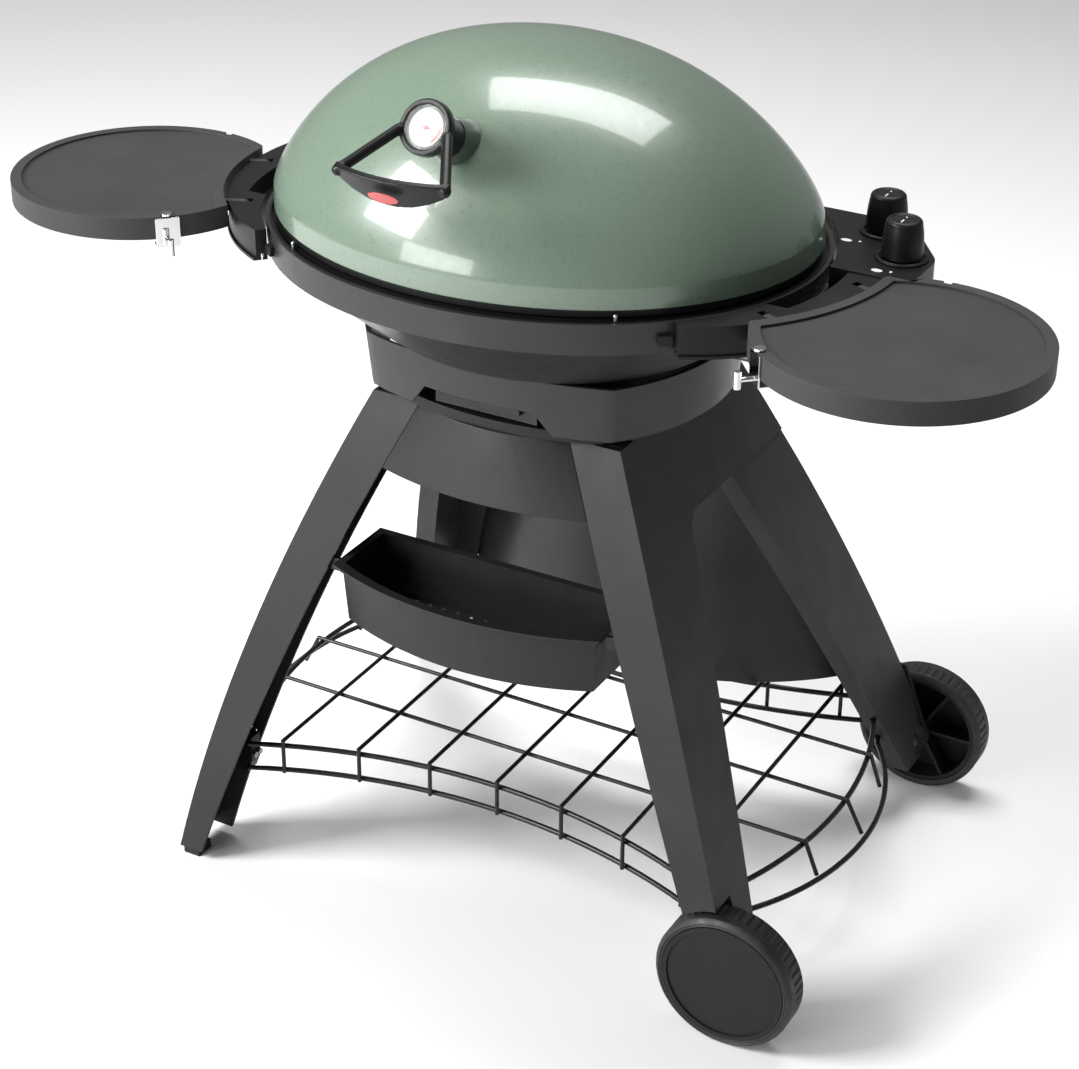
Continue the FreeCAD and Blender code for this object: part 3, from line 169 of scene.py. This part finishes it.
def coated_metal(name, colour, roughness, metallic=0.35, orange_peel=0.00005):
    """Satin paint on a casting or on sheet."""
    m = Nodes(name, colour, roughness, metallic)
    m.shader.inputs["Specular IOR Level"].default_value = 0.3
    clouds = m.span(m.noise(0.08, 4), 0, 1)
    base = m.blend(clouds, tinted(colour, 0.9), tinted(colour, 1.1))
    # painted highlight: convex edges lightened to 1.6 times the colour
    base = m.painted_edge_highlight(base, tinted(colour, 1.6), 0.4)
    dull = m.span(m.noise(0.012, 5), roughness - 0.05, roughness + 0.06)
    peel = m.bump(m.noise(0.0016, 2), orange_peel)
    return m.finish(base, dull, peel)


def bare_metal(name, colour, roughness, stretch=(1, 1, 12), scratch=0.00002):
    """Plated or brushed metal with drawn scratches and faint staining."""
    m = Nodes(name, colour, roughness, 1.0)
    drawn = m.noise(0.0012, 3, stretch)
    stains = m.span(m.noise(0.015, 4), 0, 1)
    base = m.blend(stains, tinted(colour, 0.86), colour)
    dull = m.span(drawn, roughness * 0.75, roughness * 1.35)
    return m.finish(base, dull, m.bump(drawn, scratch))


def cast_iron(name):
    m = Nodes(name, (0.022, 0.022, 0.023), 0.62, 0.4)
    rough_skin = m.noise(0.0022, 4)
    base = m.blend(m.span(m.noise(0.03, 4), 0, 1), (0.016, 0.016, 0.017), (0.04, 0.036, 0.034))
    return m.finish(base, m.span(rough_skin, 0.5, 0.75), m.bump(rough_skin, 0.0003))


def tyre_rubber(name):
    m = Nodes(name, (0.012, 0.012, 0.0125), 0.55)
    dust = m.span(m.noise(0.02, 5), 0, 1)
    base = m.blend(dust, (0.008, 0.008, 0.0085), (0.019, 0.0185, 0.018))
    return m.finish(base, m.span(m.noise(0.008, 4), 0.45, 0.65), m.bump(m.noise(0.0012, 3), 0.00008))


def clear_glass(name):
    m = Nodes(name, (1, 1, 1), 0.02)
    m.set(transmission_weight=1.0)
    m.shader.inputs["IOR"].default_value = 1.2
    smudge = m.span(m.noise(0.008, 3), 0.01, 0.05)
    return m.finish(roughness=smudge)


def dial_print(name):
    m = Nodes(name, (0.8, 0.8, 0.78), 0.4)
    grain = m.noise(0.0006, 2)
    base = m.blend(m.span(grain, 0, 1), (0.78, 0.78, 0.76), (0.86, 0.86, 0.84))
    return m.finish(base, m.span(m.noise(0.004), 0.34, 0.46), m.bump(grain, 0.000005))


MATERIALS = {
    "leg_plastic": moulded("leg_plastic", (0.022, 0.022, 0.0225), 0.46, 0.0012, 0.00010),
    "shroud_enamel": coated_metal("shroud_enamel", (0.034, 0.034, 0.035), 0.36, 0.4),
    "rubber": moulded("rubber", (0.015, 0.015, 0.015), 0.7, 0.0015, 0.0001),
    "tyre": tyre_rubber("tyre"),
    "zinc_steel": bare_metal("zinc_steel", (0.55, 0.55, 0.54), 0.32),
    "black_wire": coated_metal("black_wire", (0.012, 0.012, 0.0125), 0.28, 0.1),
    "black_plastic": moulded("black_plastic", (0.007, 0.007, 0.0072), 0.38, 0.0010, 0.00005),
    "basket_enamel": coated_metal("basket_enamel", (0.015, 0.015, 0.0155), 0.42, 0.1),
    "cast_body": coated_metal("cast_body", (0.034, 0.034, 0.035), 0.34, 0.35, 0.00008),
    "tray_steel": bare_metal("tray_steel", (0.045, 0.045, 0.046), 0.42, (12, 1, 1)),
    "grate_iron": cast_iron("grate_iron"),
    "burner_steel": bare_metal("burner_steel", (0.42, 0.40, 0.37), 0.38, (1, 12, 12)),
    "brass": bare_metal("brass", (0.62, 0.46, 0.2), 0.3),
    "knob_plastic": moulded("knob_plastic", (0.009, 0.009, 0.0092), 0.42, 0.0007, 0.00003, 0.06),
    "icon_print": dial_print("icon_print"),
    "shelf_plastic": moulded("shelf_plastic", (0.036, 0.036, 0.037), 0.5, 0.0011, 0.00007),
    "chrome": bare_metal("chrome", (0.82, 0.82, 0.82), 0.09, (1, 1, 4), 0.000004),
    "hub_plastic": moulded("hub_plastic", (0.010, 0.010, 0.0103), 0.45, 0.0009, 0.00004),
    "enamel_green": enamel("enamel_green", (0.135, 0.190, 0.140), 0.30),
    "base_green_black": enamel("base_green_black", (0.045, 0.065, 0.05), 0.38, 0.3),
    "dial_white": dial_print("dial_white"),
    "glass": clear_glass("glass"),
    "badge_red": enamel("badge_red", (0.42, 0.045, 0.05), 0.3, 0.5, 0.05, 0.00002),
    "needle_red": enamel("needle_red", (0.5, 0.03, 0.035), 0.35, 0.2, 0.03, 0.0),
}
SLOT_OF = {part["node"]: part["material_slot"] for part in frame["record"]["subparts"]}
BODY_OF = {node: body for body, nodes in frame["record"]["behaviour"]["bodies"].items()
           for node in nodes}


# ---- mesh helpers ---------------------------------------------------------------------------
def paint(obj, slot):
    obj.data.materials.clear()
    obj.data.materials.append(MATERIALS[slot])


def piece(name, mesh, body, slot, replaced=()):
    obj = bpy.data.objects.new(name, mesh)
    bpy.context.scene.collection.objects.link(obj)
    paint(obj, slot)
    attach(obj, body)
    if replaced:
        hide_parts(*replaced)
    return obj


def to_mesh(name, bm, smooth=True):
    mesh = bpy.data.meshes.new(name)
    bmesh.ops.recalc_face_normals(bm, faces=bm.faces)
    bm.to_mesh(mesh)
    bm.free()
    for polygon in mesh.polygons:
        polygon.use_smooth = smooth
    return mesh


def modifier(obj, kind, **values):
    mod = obj.modifiers.new(kind.title(), kind)
    for key, value in values.items():
        setattr(mod, key, value)
    return mod


def bake(obj):
    """Replaces an object's mesh by the result of its modifiers."""
    graph = bpy.context.evaluated_depsgraph_get()
    mesh = bpy.data.meshes.new_from_object(obj.evaluated_get(graph))
    obj.modifiers.clear()
    obj.data = mesh


def merged_copy(node):
    """A node's mesh as clean faces: split corners joined, flat triangles dissolved."""
    source = frame["nodes"][node]
    bm = bmesh.new()
    bm.from_mesh(source.data)
    bm.transform(source.matrix_world)
    bmesh.ops.remove_doubles(bm, verts=bm.verts, dist=2e-6)
    bmesh.ops.dissolve_limit(bm, angle_limit=math.radians(0.6), verts=bm.verts, edges=bm.edges)
    return bm


def refine(node, edge, sharp=32):
    """Shows a CAD node with its hard edges rounded to `edge` metres."""
    obj = piece(f"{node}_fine", to_mesh(node, merged_copy(node)), BODY_OF[node], SLOT_OF[node],
                [node])
    modifier(obj, "BEVEL", width=edge, segments=3, limit_method="ANGLE",
             angle_limit=math.radians(sharp), harden_normals=False, use_clamp_overlap=True)
    modifier(obj, "WEIGHTED_NORMAL", keep_sharp=True, weight=50)
    bake(obj)
    return obj


def lathe(rows, steps, place, shape_row=None):
    """Surface of revolution: rows of (radius, height), closed where the radius is zero."""
    bm = bmesh.new()
    rings = []
    for index, (radius, height) in enumerate(rows):
        if radius < 1e-6:
            rings.append([bm.verts.new(place(0.0, 0.0, height))] * steps)
            continue
        ring = []
        for step in range(steps):
            angle = 2 * math.pi * step / steps
            reach = shape_row(index, step, radius) if shape_row else radius
            ring.append(bm.verts.new(place(reach * math.cos(angle), reach * math.sin(angle), height)))
        rings.append(ring)
    for low, high in zip(rings, rings[1:]):
        for step in range(steps):
            after = (step + 1) % steps
            corners = list(dict.fromkeys([low[step], low[after], high[after], high[step]]))
            if len(corners) > 2:
                bm.faces.new(corners)
    return bm


def node_box(node):
    low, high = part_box(node)
    return Vector(low), Vector(high)


# ---- hood -------------------------------------------------------------------------------------
HOOD_LIP, HOOD_SHEET, HOOD_LEAN = 0.022, 0.0025, -0.09
LIP_DRAFT = 0.0015                  # the lip leans in by this much
DOME_FULLNESS, DOME_CROWN = 2.34, 1 / 1.29      # exponents of the dome's curve
BODY_DEPTH_SHARE = 251 / 304        # depth of the hood over its width
HOOD_STEPS, DOME_STEPS = 192, 36


def rim_middle():
    """Y of the middle of the bowl's mouth, over which the hood's edge is centred."""
    low, high = node_box("rim_ring")
    return (low.y + high.y) / 2


def dome_rows(reach, rise, sheet):
    """(radius, height) from the lip to the crown, `sheet` inside the outer surface."""
    rows = []
    for turn in range(DOME_STEPS + 1):
        share = math.sin(math.pi / 2 * (1 - turn / DOME_STEPS))
        height = rise * max(0.0, 1 - share ** DOME_FULLNESS) ** DOME_CROWN
        radius = max(0.0, (reach - LIP_DRAFT - sheet) * share)
        rows.append((radius, HOOD_LIP + height - sheet * (1 - share ** 4)))
    return rows


def hood():
    """Pressed dome over a short upright lip, leaning forward a little."""
    low, high = node_box("hood_shell")
    half = (high.x - low.x) / 2
    rise = high.z - low.z - HOOD_LIP
    centre_y = rim_middle()

    def place(x, y, z):
        return Vector((x, centre_y + y * BODY_DEPTH_SHARE + HOOD_LEAN * z, low.z + z))

    outer = [(half, 0.0)] + dome_rows(half, rise, 0.0)
    inner = [(half - HOOD_SHEET, 0.0)] + dome_rows(half, rise, HOOD_SHEET)
    bm = lathe(list(reversed(inner)) + outer, HOOD_STEPS, place)
    obj = piece("hood_dome", to_mesh("hood_dome", bm), "hood", "enamel_green", ["hood_shell"])
    modifier(obj, "BEVEL", width=0.0009, segments=3, limit_method="ANGLE", angle_limit=math.radians(50))
    modifier(obj, "WEIGHTED_NORMAL", keep_sharp=True)
    bake(obj)


def handle():
    """Ring, arms and grip as one soft-edged moulding."""
    obj = piece("handle_moulding", to_mesh("handle_moulding", merged_copy("handle_loop")), "hood",
                "black_plastic", ["handle_loop"])
    modifier(obj, "REMESH", mode="VOXEL", voxel_size=0.0011, use_smooth_shade=True)
    modifier(obj, "SMOOTH", factor=0.5, iterations=5)
    bake(obj)
    for polygon in obj.data.polygons:
        polygon.use_smooth = True


# ---- thermometer ------------------------------------------------------------------------------
SWEEP = 240.0                       # degrees of scale, clockwise from nine o'clock
SCALE_R, BORDER_R = 0.0150, 0.0170
PRINT_H = 0.00012
FACE_OFFSET = 0.00105               # printed face in front of the needle joint's origin
COLD, DOTS, HOT = (2, 22), (30, SWEEP - 65), (SWEEP - 62, SWEEP)
DOT_COUNT, DOT_SPAN = 12, 3.2


def band_section(middle, half):
    """Inner and outer radius of a printed line."""
    return middle - half, middle + half


def dial_frame():
    """Matrix of the dial: X right, Y up the dial, Z towards the cook, on the printed face."""
    joints = frame["record"]["behaviour"]["joints"]
    turn = next(joint for joint in joints if joint["name"] == "needle_turn")
    outward = -Vector(turn["axis"]).normalized()
    right = Vector((1, 0, 0))
    upward = outward.cross(right)
    face = Vector(turn["pos_m"]) + outward * FACE_OFFSET
    columns = Matrix((right, upward, outward)).transposed().to_4x4()
    return Matrix.Translation(face) @ columns


def scale_band(bm, span, radii):
    """Flat raised arc of the scale between two clockwise angles."""
    start, stop = span
    inner, outer = radii
    count = max(2, int((stop - start) / 3))
    rows = []
    for index in range(count + 1):
        angle = math.radians(180 - start - (stop - start) * index / count)
        across = Vector((math.cos(angle), math.sin(angle), 0))
        rows.append([bm.verts.new(across * r + Vector((0, 0, z)))
                     for r, z in ((inner, 0), (outer, 0), (outer, PRINT_H), (inner, PRINT_H))])
    for before, after in zip(rows, rows[1:]):
        for side in range(4):
            other = (side + 1) % 4
            bm.faces.new((before[side], before[other], after[other], after[side]))
    bm.faces.new(rows[0])
    bm.faces.new(rows[-1][::-1])


def dial_scale():
    place = dial_frame()
    red = bmesh.new()
    scale_band(red, COLD, band_section(SCALE_R, 0.0008))
    scale_band(red, HOT, band_section(SCALE_R, 0.0013))
    red.transform(place)
    piece("dial_scale_red", to_mesh("dial_scale_red", red, False), "hood", "needle_red")
    black = bmesh.new()
    first, last = DOTS
    for mark in range(DOT_COUNT):
        angle = first + mark * (last - first) / (DOT_COUNT - 1)
        scale_band(black, (angle, angle + DOT_SPAN), band_section(SCALE_R, 0.0006))
    scale_band(black, (0, 359.9), band_section(BORDER_R, 0.0002))
    black.transform(place)
    piece("dial_scale_black", to_mesh("dial_scale_black", black, False), "hood", "knob_plastic")


# ---- wheels -----------------------------------------------------------------------------------
BEAD_R = 0.0715                     # where the tyre sits on the hub
TREAD_PITCH, TREAD_DEPTH = 4, 0.0016            # one groove in so many steps


def tyre(end):
    """Plain outer shoulder, tread bars over the inner part, a groove round the side wall."""
    low, high = node_box(f"tyre_{end}")
    width, radius = high.y - low.y, (high.x - low.x) / 2
    middle = Vector(((low.x + high.x) / 2, 0, (low.z + high.z) / 2))
    outward = -1 if end == "front" else 1
    face = low.y if end == "front" else high.y

    def place(x, z, depth):
        return Vector((middle.x + x, face - outward * depth, middle.z + z))

    rows = [(BEAD_R, 0.0015), (BEAD_R + 0.0010, 0.0004), (radius - 0.0074, 0.0), (radius - 0.0069, 0.0009),
            (radius - 0.0061, 0.0009), (radius - 0.0056, 0.0), (radius - 0.0048, 0.0002),
            (radius - 0.0018, 0.0022), (radius, 0.0052), (radius, width * 0.36),
            (radius, width * 0.38), (radius, width * 0.86), (radius, width * 0.88),
            (radius - 0.0018, width - 0.0022), (radius - 0.0050, width - 0.0002),
            (BEAD_R + 0.0010, width - 0.0004), (BEAD_R, width - 0.0015), (BEAD_R, 0.0015)]
    tread_rows = (10, 11)

    def shape_row(index, step, reach):
        grooved = index in tread_rows and step % TREAD_PITCH == 0
        return reach - TREAD_DEPTH if grooved else reach

    bm = lathe(rows, 192, place, shape_row)
    bmesh.ops.remove_doubles(bm, verts=bm.verts, dist=1e-6)
    obj = piece(f"tyre_{end}_tread", to_mesh(f"tyre_{end}_tread", bm), f"wheel_{end}", "tyre",
                [f"tyre_{end}"])
    modifier(obj, "BEVEL", width=0.0003, segments=2, limit_method="ANGLE", angle_limit=math.radians(30))
    modifier(obj, "WEIGHTED_NORMAL", keep_sharp=True)
    bake(obj)


# ---- knobs ------------------------------------------------------------------------------------
DISH_DEPTH = 0.0012                 # the knob's top is dished by this much
MARK_SIZE = (0.0014, 0.0085, 0.0004)
BEZEL_GAP, BEZEL_REACH = 0.0015, 0.0060         # from the knob to the ring's edges


def knob_mark(end):
    """White pointer line and a small dot let into the knob's dished top."""
    low, high = node_box(f"knob_{end}")
    x, y = (low.x + high.x) / 2, (low.y + high.y) / 2
    face = high.z - DISH_DEPTH + 0.0001
    bm = bmesh.new()
    bmesh.ops.create_cube(bm, size=1.0)
    bm.transform(Matrix.Diagonal((*MARK_SIZE, 1)))
    bm.transform(Matrix.Translation((x, y - 0.0065, face)))
    dot = bmesh.ops.create_cone(bm, cap_ends=True, segments=20, radius1=0.0011, radius2=0.0009,
                                depth=MARK_SIZE[2])
    bmesh.ops.translate(bm, verts=dot["verts"], vec=(x, y + 0.006, face))
    obj = piece(f"knob_{end}_mark", to_mesh(f"knob_{end}_mark", bm, False), f"knob_{end}", "icon_print")
    modifier(obj, "BEVEL", width=0.0001, segments=2, limit_method="ANGLE")
    bake(obj)


def bezels():
    """Stepped double ring round each knob, both in one piece."""
    low, high = node_box("knob_bezels")
    tall = high.z - low.z
    whole = bmesh.new()
    for end in ("front", "rear"):
        knob_low, knob_high = node_box(f"knob_{end}")
        x, y = (knob_low.x + knob_high.x) / 2, (knob_low.y + knob_high.y) / 2
        grip = (knob_high.x - knob_low.x) / 2
        inner, outer = grip + BEZEL_GAP, grip + BEZEL_REACH

        def place(dx, dy, dz):
            return Vector((x + dx, y + dy, low.z + dz))

        rows = [(inner, 0), (inner, tall - 0.0003), (inner + 0.0003, tall), (inner + 0.0012, tall),
                (inner + 0.0017, tall - 0.0011), (inner + 0.0025, tall - 0.0011),
                (inner + 0.0029, tall - 0.0002), (outer - 0.0008, tall - 0.0002),
                (outer, tall - 0.0010), (outer, 0), (inner, 0)]
        ring = lathe(rows, 96, place)
        bmesh.ops.remove_doubles(ring, verts=ring.verts, dist=1e-6)
        whole.from_mesh(to_mesh("ring", ring))
    piece("bezel_rings", to_mesh("bezel_rings", whole), "trolley", "knob_plastic", ["knob_bezels"])


# ---- camera, light, floor ---------------------------------------------------------------------
CAMERA_PLACE = (1.1889, -2.1970, 1.7836)
CAMERA_ANGLES = (28.94, 28.43, 0.48)            # azimuth, elevation and roll in degrees
CAMERA_LENS, CAMERA_SHIFT = 82.35, (0.0011, -0.0072)


def camera():
    data = bpy.data.cameras.new("camera")
    cam = bpy.data.objects.new("camera", data)
    bpy.context.scene.collection.objects.link(cam)
    azimuth, elevation, roll = (math.radians(a) for a in CAMERA_ANGLES)
    cam.location = CAMERA_PLACE
    aim = Matrix.Rotation(azimuth, 4, "Z") @ Matrix.Rotation(math.pi / 2 - elevation, 4, "X")
    cam.matrix_world = Matrix.Translation(cam.location) @ aim @ Matrix.Rotation(roll, 4, "Z")
    data.sensor_width = 36.0
    data.lens = CAMERA_LENS
    data.shift_x, data.shift_y = CAMERA_SHIFT
    bpy.context.scene.camera = cam


def softbox(name, place, aim, size, power, colour=(1, 1, 1)):
    data = bpy.data.lights.new(name, "AREA")
    data.shape = "RECTANGLE"
    data.size, data.size_y = size
    data.energy = power
    data.color = colour
    lamp = bpy.data.objects.new(name, data)
    lamp.location = place
    lamp.rotation_euler = (Vector(aim) - Vector(place)).to_track_quat("-Z", "Y").to_euler()
    bpy.context.scene.collection.objects.link(lamp)


def lights():
    target = (0, 0, 0.7)
    softbox("key", (-2.5, -2.5, 2.7), target, (1.5, 1.8), 230)
    softbox("top", (-0.2, 0.9, 3.8), target, (2.6, 1.4), 120)
    softbox("low_front", (-1.4, -3.3, 1.2), target, (1.6, 1.0), 55)
    world = bpy.data.worlds.new("studio")
    world.use_nodes = True
    background = world.node_tree.nodes["Background"]
    background.inputs["Color"].default_value = (1, 1, 1, 1)
    background.inputs["Strength"].default_value = 0.22
    bpy.context.scene.world = world
    bpy.context.scene.view_settings.view_transform = "Standard"


def floor():
    bm = bmesh.new()
    bmesh.ops.create_grid(bm, x_segments=8, y_segments=8, size=9)
    obj = bpy.data.objects.new("floor", to_mesh("floor", bm, smooth=False))
    bpy.context.scene.collection.objects.link(obj)
    m = Nodes("floor_paint", (0.86, 0.86, 0.86), 0.75)
    tone = m.blend(m.span(m.noise(0.4, 2), 0, 1), (0.90, 0.90, 0.90), (0.92, 0.92, 0.92))
    m.finish(tone, None, m.bump(m.noise(0.003, 2), 0.00005))
    obj.data.materials.append(m.material)


# ---- assembly -----------------------------------------------------------------------------------
EDGES = {
    0.0014: ("side_frame_left", "side_frame_right", "rear_leg_left", "rear_leg_right",
             "front_panel", "rear_crossbar"),
    0.0010: ("side_arm_left", "side_arm_right", "control_panel", "shelf_left", "shelf_right",
             "pedestal", "bowl"),
    0.0006: ("bottle_shroud", "basket", "wheel_hub_front", "wheel_hub_rear", "rack_saddles",
             "handle_base", "thermometer_housing", "knob_front", "knob_rear", "hood_arms"),
    0.0004: ("arm_tabs", "drip_tray", "shelf_clip_left", "shelf_clip_right", "basket_hooks",
             "cooking_grate_left", "cooking_grate_right", "badge", "leg_pads"),
}


def show_frame():
    for node, obj in frame["nodes"].items():
        paint(obj, SLOT_OF[node])
    for edge, nodes in EDGES.items():
        for node in nodes:
            refine(node, edge)


show_frame()
hood()
handle()
dial_scale()
bezels()
for wheel_end in ("front", "rear"):
    tyre(wheel_end)
for knob_end in ("front", "rear"):
    knob_mark(knob_end)
camera()
lights()
floor()
